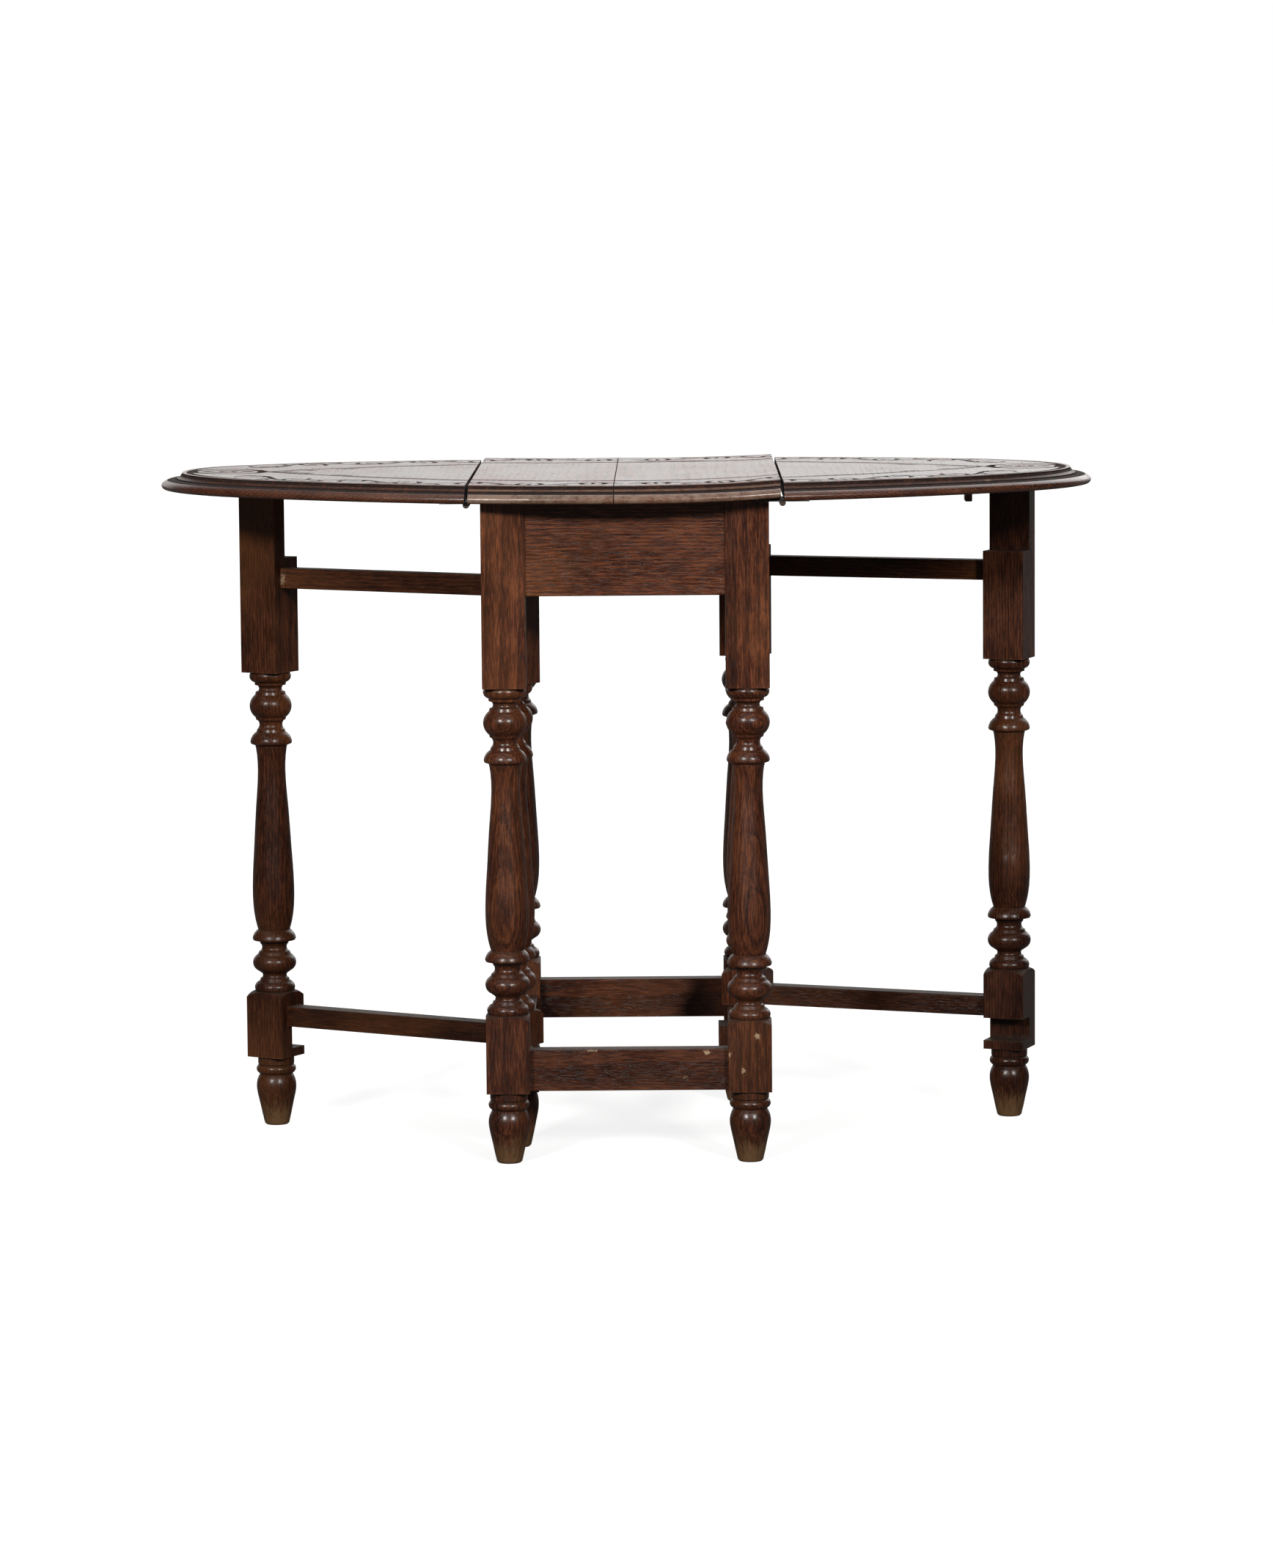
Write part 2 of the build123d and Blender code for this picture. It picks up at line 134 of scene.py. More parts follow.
def seeded_offset(seed, reach):
    """Where a piece's texture starts, so that no two pieces look alike."""
    draw = np.random.RandomState(seed)
    return tuple(float(value) for value in draw.uniform(-reach, reach, 3))


# ---------------------------------------------------------------- camera, light and floor

CAMERA_PLACE = Vector((0.0488, -6.0173, 1.0470))
CAMERA_YAW = 0.0067
CAMERA_PITCH = 0.1110
CAMERA_ROLL = -0.0084
CAMERA_LENS = 126.57
SENSOR_HEIGHT = 36.0

WHITE = colour(1.0, 1.0, 1.0)
STUDIO_LIGHT = colour(1.0, 0.985, 0.97)
WARM_SUN = (1.0, 0.985, 0.96)
PLAIN_SUN = (1.0, 1.0, 1.0)
# Each light's direction, strength, softness in degrees and colour
SUNS = {
    "light_front_left": ((0.42, 0.90, -0.44), 1.90, 9.0, WARM_SUN),
    "light_front_right": ((-0.42, 0.90, -0.42), 1.70, 9.0, WARM_SUN),
    "light_top": ((0.05, 0.10, -1.0), 0.7, 70.0, PLAIN_SUN),
    "light_back": ((-0.30, -0.87, -0.60), 0.9, 50.0, PLAIN_SUN),
}
FLOOR_HALF = 30.0
FLOOR_Z = -0.0004


def make_camera():
    """The camera, well back from the table and a little above it, looking slightly down."""
    data = bpy.data.cameras.new("camera")
    data.sensor_fit = "VERTICAL"
    data.sensor_width = SENSOR_HEIGHT
    data.sensor_height = SENSOR_HEIGHT
    data.lens = CAMERA_LENS
    data.clip_end = 2 * FLOOR_HALF
    forward_x = -math.sin(CAMERA_YAW) * math.cos(CAMERA_PITCH)
    forward_y = math.cos(CAMERA_YAW) * math.cos(CAMERA_PITCH)
    forward = Vector((forward_x, forward_y, -math.sin(CAMERA_PITCH)))
    level = Vector((math.cos(CAMERA_YAW), math.sin(CAMERA_YAW), 0.0))
    right = math.cos(CAMERA_ROLL) * level + math.sin(CAMERA_ROLL) * level.cross(forward)
    up = right.cross(forward)
    turn = Matrix((right, up, -forward)).transposed()
    camera = bpy.data.objects.new("camera", data)
    camera.matrix_world = Matrix.Translation(CAMERA_PLACE) @ turn.to_4x4()
    bpy.context.scene.collection.objects.link(camera)
    bpy.context.scene.camera = camera


def make_sun(name, direction, strength, softness, tint):
    """A broad soft light that shines along direction."""
    data = bpy.data.lights.new(name, "SUN")
    data.energy = strength
    data.angle = math.radians(softness)
    data.color = tint
    sun = bpy.data.objects.new(name, data)
    sun.rotation_euler = Vector(direction).to_track_quat("-Z", "Y").to_euler()
    bpy.context.scene.collection.objects.link(sun)


def make_world():
    """A white studio. The camera sees plain white, and the table is lit from low down behind it."""
    world = bpy.data.worlds.new("studio")
    bpy.context.scene.world = world
    graph = Graph(world)
    seen = graph.add("Background", Color=WHITE)
    direction = graph.split(graph.add("TexCoord").outputs["Generated"])
    behind = graph.span(direction["Y"], 0.60, 0.95, 0.0, 0.93, smooth=False)
    low = graph.span(direction["Z"], 0.22, 0.62, 1.0, 0.12)
    strength = graph.math("ADD", graph.math("MULTIPLY", behind, low), 0.05)
    lit = graph.add("Background", Color=STUDIO_LIGHT, Strength=strength)
    camera_ray = graph.add("LightPath").outputs["Is Camera Ray"]
    both = graph.add("MixShader")
    graph.feed_all(both, camera_ray, lit.outputs[0], seen.outputs[0])
    graph.finish(both, "OutputWorld")


def make_floor():
    """A plain floor that the camera sees pale and that throws little light back at the table."""
    half = FLOOR_HALF
    mesh = bpy.data.meshes.new("floor")
    corners = [(-half, -half, 0), (half, -half, 0), (half, half, 0), (-half, half, 0)]
    mesh.from_pydata(corners, [], [(0, 1, 2, 3)])
    floor = bpy.data.objects.new("floor", mesh)
    floor.location.z = FLOOR_Z
    bpy.context.scene.collection.objects.link(floor)
    graph = Graph(bpy.data.materials.new("pale_floor"))
    camera_ray = graph.add("LightPath").outputs["Is Camera Ray"]
    tone = graph.mix(camera_ray, colour(0.13, 0.128, 0.125), colour(0.40, 0.40, 0.40))
    paper = graph.add("BsdfDiffuse", Color=tone)
    glow = graph.add("Emission", Color=colour(0.80, 0.80, 0.80), Strength=camera_ray)
    both = graph.feed_all(graph.add("AddShader"), paper.outputs[0], glow.outputs[0])
    mesh.materials.append(graph.finish(both))


def make_stage():
    make_camera()
    for name, light in SUNS.items():
        make_sun(name, *light)
    make_world()
    make_floor()
    bpy.context.scene.view_settings.view_transform = "Standard"
    bpy.context.scene.view_settings.look = "None"


# ---------------------------------------------------------------- oak and iron

# Oak tones from the darkest pore to the palest worn wood
# The pore colour also serves as painted shade: in hollows, in the carved grooves and moulding, and low on
# the legs.
PORE_AND_PAINTED_SHADE = colour(0.0065, 0.0019, 0.0010)
DARK = colour(0.019, 0.0043, 0.0018)
MIDDLE = colour(0.064, 0.0168, 0.0070)
LIGHT = colour(0.172, 0.053, 0.0205)
AMBER = colour(0.15, 0.058, 0.018)
DUST = colour(0.036, 0.024, 0.016)
SCUFFED = colour(0.15, 0.085, 0.036)
WORN = colour(0.20, 0.105, 0.055)
PALE_EDGE = colour(0.25, 0.165, 0.115)
BARE = colour(0.42, 0.29, 0.18)

# Wrought iron
BLACK_IRON = colour(0.030, 0.027, 0.025)
GREY_IRON = colour(0.060, 0.053, 0.048)
RUST = colour(0.085, 0.032, 0.014)
RUBBED_IRON = colour(0.20, 0.18, 0.165)

# Sizes of the oak's figure, in cycles per metre across the grain
RING_SCALE = 95.0
STREAK_SCALE = 690.0
PORE_SCALE = 1150.0
CLOUD_SCALE = 42.0
MOTTLE_SCALE = 16.0


class Oak(Graph):
    """Old stained oak with satin polish, in layers. Its grain runs along direction."""

    def __init__(self, name, direction, seed, sheen):
        super().__init__(bpy.data.materials.new(name))
        self.sheen = sheen
        turn = Vector(direction).rotation_difference(Vector((0, 0, 1))).to_euler()
        offset = seeded_offset(seed, 0.25)
        self.place = self.add("TexCoord").outputs["Object"]
        laid = self.add("Mapping", Vector=self.place, Rotation=turn, Location=offset)
        self.wood = laid.outputs[0]
        self.fine = self.scaled(self.wood, (1.0, 1.0, 0.08))
        self.streak = self.noise(self.fine, STREAK_SCALE, 4.0, 0.75)
        self.mottle = self.noise(self.scaled(self.wood, (1.0, 1.0, 0.35)), MOTTLE_SCALE, 3.0, 0.55)
        self.cloud = self.noise(self.wood, CLOUD_SCALE, 2.0, 0.5)

    def cover(self, where, strength, layer, roughen=0.0):
        """Lay a colour over part of the wood, and roughen it there."""
        self.base = self.mix(self.math("MULTIPLY", where, strength), self.base, layer)
        if roughen:
            self.rough = self.math("MULTIPLY_ADD", where, roughen, self.rough)

    def figure(self, warmth, shade):
        """The wood itself: rings, streaks, pores and some warmer patches."""
        settings = {"wave_type": "RINGS", "rings_direction": "Z", "wave_profile": "SAW"}
        rings = self.add(
            "TexWave",
            settings,
            Vector=self.scaled(self.wood, (1.0, 1.0, 0.10)),
            Scale=RING_SCALE,
            Distortion=7.0,
            Detail=3.0,
            Detail_Scale=0.3,
            Detail_Roughness=0.6,
        )
        early = self.span(rings.outputs["Fac"], 0.25, 1.0)
        pores = self.span(self.noise(self.fine, PORE_SCALE, 2.0, 0.6), 0.55, 0.65)
        self.pores = self.math("MULTIPLY", pores, self.span(early, 0.0, 1.0, 0.45, 1.0))

        tone = self.math("MULTIPLY_ADD", self.streak, 1.25, self.math("MULTIPLY", early, -0.13))
        tone = self.math("MULTIPLY_ADD", self.mottle, 0.50, tone)
        tone = self.math("MULTIPLY_ADD", self.cloud, 0.20, tone)
        ramp = self.add("ValToRGB", Fac=self.span(tone, 0.69, 1.13, smooth=False))
        stops = ramp.color_ramp.elements
        stops[0].position = 0.08
        # shade scales the tones: a darker tone for the top's leaves, and painted shade on the gates.
        stops[0].color = scale_colour(DARK, shade)
        stops[1].position = 0.95
        stops[1].color = scale_colour(LIGHT, shade)
        middle = stops.new(0.5)
        middle.color = scale_colour(MIDDLE, shade)
        base = ramp.outputs["Color"]
        warm = self.span(self.noise(self.wood, 7.0, 2.0, 0.5), 0.42, 0.70, 0.0, warmth)
        self.base = self.mix(warm, base, self.mix(0.5, base, AMBER, "ADD"))
        self.rough = self.span(self.mottle, 0.3, 0.7, 0.25, 0.35)
        self.cover(self.pores, 0.72, PORE_AND_PAINTED_SHADE, 0.22)

    def hollow_dirt_and_shade(self):
        """Darker in corners and turned grooves: dust and old polish, and painted shade, laid where the
        occlusion node finds hollows.
        """
        hollow = self.occlusion(0.011)
        where = self.span(self.math("MULTIPLY_ADD", self.cloud, 0.35, hollow), 0.38, 0.72)
        dusty = self.span(self.noise(self.wood, 120.0, 3.0, 0.6), 0.42, 0.62)
        # Painted shade with dust: the hollows are darkened towards the pore colour.
        self.cover(where, 0.72, self.mix(dusty, PORE_AND_PAINTED_SHADE, DUST), 0.28)

    def rub_edges(self):
        """Polish rubbed through along the edges."""
        edge = self.occlusion(0.0035, inside=True)
        rub = self.math("MULTIPLY_ADD", self.noise(self.wood, 70.0, 4.0, 0.65), 0.9, edge)
        self.cover(self.span(rub, 0.88, 1.20), 0.40, WORN)

    def paint_shade_low(self):
        """Painted shade: the legs are darkened towards the floor, where less light reaches them."""
        height = self.split(self.place)[2]
        # Painted shade: a darker base colour low down, fading out by about half a metre up.
        self.base = self.mix(self.span(height, 0.06, 0.56, 0.42, 0.0), self.base, PORE_AND_PAINTED_SHADE)

    def scuff_feet(self):
        """The last few centimetres above the floor have lost their polish."""
        height = self.split(self.place)[2]
        ragged = self.math("MULTIPLY_ADD", self.noise(self.fine, 260.0, 4.0, 0.7), 0.060, height)
        self.cover(self.span(ragged, 0.032, 0.064, 1.0, 0.0), 0.60, SCUFFED, 0.2)

    def settle_dust(self):
        """Dust that dulls the faces that look up."""
        facing = self.split(self.add("TexCoord").outputs["Normal"])[2]
        dusted = self.span(self.math("MULTIPLY_ADD", self.cloud, 0.3, facing), 0.85, 1.10)
        self.cover(dusted, 0.45, DUST, 0.35)
        self.polish = self.span(dusted, 0.0, 1.0, self.sheen, 0.25 * self.sheen)

    def chip(self, spot, size, strength):
        """A ragged chip of bare wood at spot."""
        from_spot = self.vectors("SUBTRACT", self.place, spot)[0]
        stretched = self.scaled(from_spot, tuple(1.0 / value for value in size))
        length = self.vectors("LENGTH", stretched)["Value"]
        ragged = self.noise(self.place, 420.0, 3.0, 0.75)
        reach = self.math("MULTIPLY_ADD", ragged, 3.2, length)
        chip = self.span(reach, 2.0, 2.35, strength, 0.0)
        self.base = self.mix(chip, self.base, BARE)
        self.rough = self.math("MULTIPLY_ADD", chip, 0.25, self.rough)

    def raise_grain(self):
        """The height of the grain, with open pores and soft unevenness."""
        height = self.math("MULTIPLY_ADD", self.streak, 0.45, self.math("MULTIPLY", self.pores, -0.8))
        self.height = self.math("MULTIPLY_ADD", self.cloud, 0.6, height)

    def show_carving(self, has_joint):
        """Dark grooves with dirt and painted shade, painted shade in the moulding, cracks and a rubbed
        moulding, from the attributes of the carved boards.
        """
        dark_grooves_and_shade = self.span(self.attribute("groove_and_shade"), 0.08, 0.50)
        if has_joint:
            across = self.math("SUBTRACT", self.split(self.place)[0], JOINT_X * MM)
            joint = self.span(self.math("ABSOLUTE", across), 0.0003, 0.0008, 1.0, 0.0)
            dark_grooves_and_shade = self.math("MAXIMUM", dark_grooves_and_shade, joint)
        self.polish = self.span(dark_grooves_and_shade, 0.0, 1.0, self.sheen, 0.05)
        # Dirt and painted shade: the grooves and the moulding's hollows are darkened towards the pore
        # colour.
        self.cover(dark_grooves_and_shade, 0.92, PORE_AND_PAINTED_SHADE, 0.70)
        fleck = self.noise(self.scaled(self.place, (1.0, 0.35, 1.0)), 150.0, 2.0, 0.5)
        fleck = self.span(fleck, 0.52, 0.70, 0.0, 0.18)
        self.base = self.mix(fleck, self.base, scale_colour(LIGHT, 0.9))
        uneven = self.noise(self.place, 90.0, 2.0, 0.5)
        self.height = self.math("MULTIPLY_ADD", uneven, 0.25, self.height)
        cracks = self.span(self.attribute("crack"), 0.2, 0.8, 0.0, 0.9)
        self.base = self.mix(cracks, self.base, PORE_AND_PAINTED_SHADE)
        patchy = self.noise(self.place, 110.0, 4.0, 0.7)
        pale = self.math("MULTIPLY_ADD", patchy, 0.9, self.attribute("pale"))
        out_of_groove = self.span(dark_grooves_and_shade, 0.0, 0.7, 0.80, 0.0)
        pale = self.math("MULTIPLY", self.span(pale, 0.95, 1.35), out_of_groove)
        self.base = self.mix(pale, self.base, PALE_EDGE)

    def polished(self, coat, coat_roughness):
        """The finished material."""
        bump = self.add("Bump", Height=self.height, Strength=0.30, Distance=0.0005)
        surface = self.add(
            "BsdfPrincipled",
            Base_Color=self.base,
            Roughness=self.rough,
            Normal=bump.outputs[0],
            Coat_Weight=self.math("MULTIPLY", self.polish, coat),
            Coat_Roughness=coat_roughness,
            Specular_IOR_Level=0.42 * self.sheen,
        )
        return self.finish(surface)


def top_oak(name, seed, shade, chips, has_joint):
    """Oak for a board of the top."""
    wood = Oak(name, (0, 1, 0), seed, sheen=1.0)
    wood.figure(0.2, shade)
    wood.hollow_dirt_and_shade()
    wood.rub_edges()
    for chip in chips:
        wood.chip(*chip)
    wood.raise_grain()
    wood.show_carving(has_joint)
    return wood.polished(0.32, 0.16)


def frame_oak(name, direction, seed, warmth, shade, sheen, has_foot, chips):
    """Oak for a piece of the frame or of a gate."""
    wood = Oak(name, direction, seed, sheen)
    wood.figure(warmth, shade)
    wood.hollow_dirt_and_shade()
    wood.rub_edges()
    wood.paint_shade_low()
    if has_foot:
        wood.scuff_feet()
    wood.settle_dust()
    for chip in chips:
        wood.chip(*chip)
    wood.raise_grain()
    return wood.polished(0.24, 0.19)


def iron(name, seed, bright):
    """Blackened wrought iron with a little rust and rubbed high spots."""
    graph = Graph(bpy.data.materials.new(name))
    place = graph.add("TexCoord").outputs["Object"]
    place = graph.add("Mapping", Vector=place, Location=seeded_offset(seed, 1.0)).outputs[0]
    coarse = graph.noise(place, 160.0, 4.0, 0.6)
    fine = graph.noise(place, 900.0, 3.0, 0.6)
    rust = graph.span(graph.math("MULTIPLY_ADD", fine, 0.4, coarse), 0.68, 0.86)
    base = graph.mix(coarse, scale_colour(BLACK_IRON, bright), scale_colour(GREY_IRON, bright))
    base = graph.mix(graph.math("MULTIPLY", rust, 0.75), base, RUST)
    rub = graph.span(graph.occlusion(0.0012, inside=True), 0.35, 0.8)
    base = graph.mix(graph.math("MULTIPLY", rub, 0.5), base, RUBBED_IRON)
    metal = graph.span(rust, 0.0, 1.0, 0.60, 0.10)
    rough = graph.span(coarse, 0.3, 0.7, 0.42, 0.62)
    rough = graph.math("MULTIPLY_ADD", rust, 0.25, rough)
    height = graph.math("MULTIPLY_ADD", fine, 0.5, coarse)
    bump = graph.add("Bump", Height=height, Strength=0.5, Distance=0.0003).outputs[0]
    surface = graph.add("BsdfPrincipled", Base_Color=base, Metallic=metal, Roughness=rough, Normal=bump)
    return graph.finish(surface)


# ---------------------------------------------------------------- the oval top, in millimetres

HALF_LENGTH = 507.0
HALF_DEPTH = 305.0
TOP_Z = 720.0
THICKNESS = 18.0
END_RADIUS = 216.0
SIDE_RADIUS = (HALF_LENGTH**2 + HALF_DEPTH**2 - 2 * HALF_LENGTH * END_RADIUS) / (
    2 * (HALF_DEPTH - END_RADIUS)
)
END_X = HALF_LENGTH - END_RADIUS
SIDE_Y = SIDE_RADIUS - HALF_DEPTH
END_ANGLE = math.acos(END_X / math.hypot(END_X, SIDE_Y))
SIDE_ANGLE = math.pi / 2 - END_ANGLE
FLAT_INSET = 22.8
SEAM_X = 165.0
JOINT_X = -11.0
HALF_GAP = 1.9
HALF_HAIRLINE = 0.12

# A quarter's length is measured along the middle of its carved band
BAND_MIDDLE = FLAT_INSET + 50.0
SIDE_RUN = (SIDE_RADIUS - BAND_MIDDLE) * SIDE_ANGLE
END_RUN = (END_RADIUS - BAND_MIDDLE) * END_ANGLE
QUARTER_RUN = SIDE_RUN + END_RUN


def quarter_point(along, inset):
    """A point of the quarter with +X and -Y. along runs from 0 at the front to 1 at the tip."""
    reach = np.asarray(along, float) * QUARTER_RUN
    inset = np.asarray(inset, float)
    side_turn = np.clip(reach / SIDE_RUN, 0.0, 1.0) * SIDE_ANGLE
    end_turn = np.clip((reach - SIDE_RUN) / END_RUN, 0.0, 1.0) * END_ANGLE
    side, end = SIDE_RADIUS - inset, END_RADIUS - inset
    on_side = reach <= SIDE_RUN
    x = np.where(on_side, side * np.sin(side_turn), END_X + end * np.cos(END_ANGLE - end_turn))
    y = np.where(on_side, SIDE_Y - side * np.cos(side_turn), -end * np.sin(END_ANGLE - end_turn))
    return x, y


def oval(turns, inset):
    """Points all round the oval at an inset from its edge. turns runs from 0 to 4, a quarter each."""
    quarter = np.floor(turns).astype(int) % 4
    share = turns - np.floor(turns)
    along = np.where(quarter % 2 == 0, share, 1.0 - share)
    x, y = quarter_point(along, inset)
    sign_x = np.where((quarter == 0) | (quarter == 1), 1.0, -1.0)
    sign_y = np.where((quarter == 0) | (quarter == 3), 1.0, -1.0)
    return sign_x * x, sign_y * y


def inset_of(x, y):
    """How far points lie inside the edge of the oval."""
    x, y = np.abs(x), np.abs(y)
    on_end = np.arctan2(y, x - END_X) < END_ANGLE
    end = END_RADIUS - np.hypot(x - END_X, y)
    side = SIDE_RADIUS - np.hypot(x, y + SIDE_Y)
    return np.where(on_end, end, side)


def lift(x, y):
    """How far the old boards have risen from flat: the centre cups, the leaves turn up at the tips."""
    right_rise = 4.2
    left_rise = 1.4 + 1.0 * y / HALF_DEPTH
    right = np.clip(x / SEAM_X, 0.0, 1.0) ** 2.6 * right_rise
    left = np.clip(-(x - JOINT_X) / (SEAM_X + JOINT_X), 0.0, 1.0) ** 2.4 * left_rise
    reach = np.clip((np.abs(x) - SEAM_X) / (HALF_LENGTH - SEAM_X), 0.0, 1.0)
    leaf = np.where(x > 0, 0.8 + 1.8 * reach, 0.2 + 3.6 * reach)
    return np.where(np.abs(x) < SEAM_X, right + left, leaf)


# ---------------------------------------------------------------- the carving


class Relief:
    """A height map of the gouge cuts in the top."""

    step = 0.6
    half_x = 515.0
    half_y = 312.0
    # How much wider and deeper than their nominal V the cuts have worn
    spread = 1.5
    deepen = 1.8

    def __init__(self):
        self.columns = int(2 * self.half_x / self.step) + 1
        self.rows = int(2 * self.half_y / self.step) + 1
        self.depth = np.zeros((self.rows, self.columns), np.float32)

    def window(self, first, second, reach, half, count):
        """The columns or rows within reach of two places."""
        low = int((min(first, second) - reach + half) / self.step)
        high = int((max(first, second) + reach + half) / self.step) + 2
        return max(low, 0), min(high, count)

    def cut(self, start, end, widths, depths):
        """One straight piece of a V cut, with its width and depth at both ends."""
        reach = self.spread * max(widths) + self.step
        low_x, high_x = self.window(start[0], end[0], reach, self.half_x, self.columns)
        low_y, high_y = self.window(start[1], end[1], reach, self.half_y, self.rows)
        if low_x >= high_x or low_y >= high_y:
            return
        x = np.arange(low_x, high_x) * self.step - self.half_x
        y = np.arange(low_y, high_y) * self.step - self.half_y
        x, y = np.meshgrid(x, y)
        run = np.array(end, float) - np.array(start, float)
        length = max(float(run @ run), 1e-6)
        share = np.clip(((x - start[0]) * run[0] + (y - start[1]) * run[1]) / length, 0, 1)
        away = np.hypot(x - start[0] - share * run[0], y - start[1] - share * run[1])
        width = widths[0] + share * (widths[1] - widths[0])
        deep = depths[0] + share * (depths[1] - depths[0])
        slope = np.clip(1.0 - away / np.maximum(self.spread * width, 0.05), 0, 1) ** 0.8
        patch = self.depth[low_y:high_y, low_x:high_x]
        np.maximum(patch, self.deepen * deep * slope, out=patch)

    def stroke(self, points, width, depth, taper=0.0):
        """A V cut along points. taper is the share of its length that each end runs out over."""
        points = np.asarray(points, float)
        share = np.linspace(0.0, 1.0, len(points))
        fade = np.ones(len(points))
        if taper > 0:
            fade = np.clip(np.minimum(share, 1.0 - share) / taper, 0.0, 1.0) ** 0.7
            fade = np.maximum(fade, 0.12)
        for i in range(len(points) - 1):
            ends = fade[i : i + 2]
            self.cut(points[i], points[i + 1], width * ends, depth * ends)

    def at(self, x, y):
        """Depth at points, by bilinear look-up."""
        column = np.clip((x + self.half_x) / self.step, 0, self.columns - 1.001)
        row = np.clip((y + self.half_y) / self.step, 0, self.rows - 1.001)
        left, low = column.astype(int), row.astype(int)
        fx, fy = column - left, row - low
        depth = self.depth
        return (
            depth[low, left] * (1 - fx) * (1 - fy)
            + depth[low, left + 1] * fx * (1 - fy)
            + depth[low + 1, left] * (1 - fx) * fy
            + depth[low + 1, left + 1] * fx * fy
        )


# The bays of the waving strap, from the front middle to the tip
BAYS = 7
BAY_PITCH = 66.0
FIRST_BAY = 33.0
ROUNDEL_X = 435.0
FIELD_POINT_X = 389.0


def band(along, inset):
    """Points of the carved band, by the way along it and the inset from the edge of the flat."""
    return quarter_point(np.asarray(along) / QUARTER_RUN, FLAT_INSET + np.asarray(inset))


def carve_top():
    """Strapwork and leaves in the band round a plain pointed field, and a roundel at each tip."""
    relief = Relief()
    draw = np.random.RandomState(7)

    def put(points, width, depth, taper=0.0, wobble=0.5):
        """The same cut in all four quarters, each a little different."""
        x, y = points
        for sign_x, sign_y in ((1, 1), (-1, 1), (1, -1), (-1, -1)):
            shift = draw.uniform(-wobble, wobble, 2)
            points = np.column_stack((sign_x * x + shift[0], sign_y * y + shift[1]))
            relief.stroke(points, width, depth, taper)

    carve_lines(put)
    carve_strap(put)
    carve_scrolls(put)
    for sign in (-1, 1):
        carve_roundel(relief, sign)
    carve_irregular(relief)
    return relief


def carve_lines(put):
    """The line round the edge of the flat, and the pointed field with its fainter inner line."""
    put(band(np.linspace(0, QUARTER_RUN, 160), np.full(160, 8.0)), 2.4, 1.3, wobble=0.0)
    for half_x, half_y, width, depth in ((FIELD_POINT_X, 190.0, 2.8, 1.5), (374.0, 182.0, 1.6, 0.8)):
        radius = (half_x**2 + half_y**2) / (2 * half_y)
        x = np.linspace(0, half_x, 120)
        y = -(np.sqrt(radius**2 - x**2) - (radius - half_y))
        put((x, y), width, depth, wobble=0.0)


def carve_strap(put):
    """A waving strap with a leaf in each of its bays."""
    along = np.linspace(0.0, FIRST_BAY + (BAYS - 0.5) * BAY_PITCH, 260)
    sway = 41.0 + 20.0 * np.cos(np.pi * (along - FIRST_BAY) / BAY_PITCH)
    put(band(along, sway), 2.2, 1.35, taper=0.02)
    share = np.linspace(0, 1, 24)
    for bay in range(BAYS):
        middle = FIRST_BAY + bay * BAY_PITCH
        root, tip = (66.0, 22.0) if bay % 2 == 0 else (16.0, 62.0)
        for side in (-1, 1):
            swell = side * 13.0 * np.sin(np.pi * share) ** 0.9
            put(band(middle + swell, root + (tip - root) * share), 1.9, 1.2, taper=0.25)
        rib = root + (tip - root) * (0.1 + 0.7 * share)
        put(band(np.full(24, middle), rib), 1.5, 0.9, taper=0.4)


def carve_scrolls(put):
    """A C scroll between each two bays."""
    turn = np.radians(np.linspace(20.0, 310.0, 34))
    radius = np.linspace(11.0, 4.0, 34)
    for bay in range(BAYS - 1):
        middle = FIRST_BAY + (bay + 0.5) * BAY_PITCH
        scroll = band(middle + radius * np.cos(turn), 21.0 + 0.9 * radius * np.sin(turn))
        put(scroll, 1.8, 1.1, taper=0.2)


def carve_roundel(relief, sign):
    """An eye in a ring at one tip, with two curls that lead to it from the point of the field."""
    turn = np.linspace(0, 2 * np.pi, 90)
    for half_x, half_y, width, depth in ((37, 46, 2.8, 1.5), (8, 8, 2.0, 1.2)):
        ring = (sign * ROUNDEL_X + half_x * np.cos(turn), half_y * np.sin(turn))
        relief.stroke(np.column_stack(ring), width, depth)
    for bend in (-1, 1):
        share = np.linspace(0, 1, 40)
        lid = (sign * ROUNDEL_X + 30 * (2 * share - 1), bend * 24.0 * np.sin(np.pi * share))
        relief.stroke(np.column_stack(lid), 2.6, 1.4, 0.12)
        share = np.linspace(0, 1, 30)
        curl = (sign * (FIELD_POINT_X + 14.0 * share), bend * (34.0 * share**1.6))
        relief.stroke(np.column_stack(curl), 2.2, 1.35, 0.1)


def carve_irregular(relief):
    """A small pointed rise on the back line of the field, and a deep nick by the front of the joint."""
    share = np.linspace(0, 1, 24)
    for side in (-1, 1):
        rise = (40.0 + side * 46.0 * (1 - share), 189.0 + 17.0 * share**2)
        relief.stroke(np.column_stack(rise), 2.2, 1.4, 0.1)
    relief.stroke([(4.0, -238.0), (9.0, -244.0)], 4.0, 2.0, 0.3)


# ---------------------------------------------------------------- the boards

# The moulding from the flat's edge to the underside: inset, drop, and the middle of an arc if any
PROFILE = (
    ((FLAT_INSET, 0.0), None),
    ((FLAT_INSET, 1.8), None),
    ((21.6, 2.4), None),
    ((16.4, 5.9), (19.7, 4.9)),
    ((16.2, 7.4), None),
    ((15.2, 7.0), None),
    ((1.0, 11.4), (7.4, 8.0)),
    ((5.5, THICKNESS), (0.2, 14.8)),
)
ARC_STEPS = 8

# How dark the painted shade is in the moulding's step, cove, quirk and underside, by their drop below the
# flat
PAINTED_SHADE_BY_DROP = (
    (0.5, 0.0),
    (1.0, 1.0),
    (2.9, 1.0),
    (3.6, 0.25),
    (5.8, 0.25),
    (6.5, 1.0),
    (8.0, 1.0),
    (8.5, 0.0),
    (14.5, 0.0),
    (17.5, 0.28),
)

